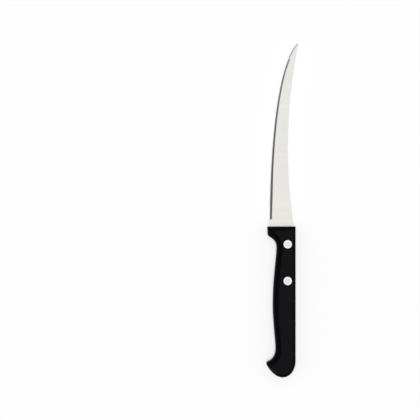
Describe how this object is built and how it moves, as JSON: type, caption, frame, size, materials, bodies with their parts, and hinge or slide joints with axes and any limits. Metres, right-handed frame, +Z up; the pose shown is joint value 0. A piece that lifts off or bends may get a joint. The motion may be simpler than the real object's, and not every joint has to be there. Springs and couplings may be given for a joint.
{
  "type": "tomato knife",
  "caption": "Tomato knife: thin upswept blade with a finely serrated edge, in a black moulded handle with a finger guard, a hooked butt and flush rivets.",
  "frame": {"origin": "centre of the knife's outer box, on the surface that it lies on", "axes": "+Y along the knife from the butt to the tip, +X from the edge side to the spine side, +Z up from the right side, which it lies on, to the left side"},
  "size_m": [0.0221, 0.2314, 0.013],
  "materials": {
    "blade_steel": "fine satin, ground across the blade",
    "handle_plastic": "black, satin, moulded",
    "rivet_metal": "satin"
  },
  "bodies": {
    "root": {"blade": "blade_steel", "handle_scale_left": "handle_plastic", "handle_scale_right": "handle_plastic", "rivet_front_pin": "rivet_metal", "rivet_front_tube": "rivet_metal", "rivet_rear_pin": "rivet_metal", "rivet_rear_tube": "rivet_metal"}
  },
  "joints": []
}
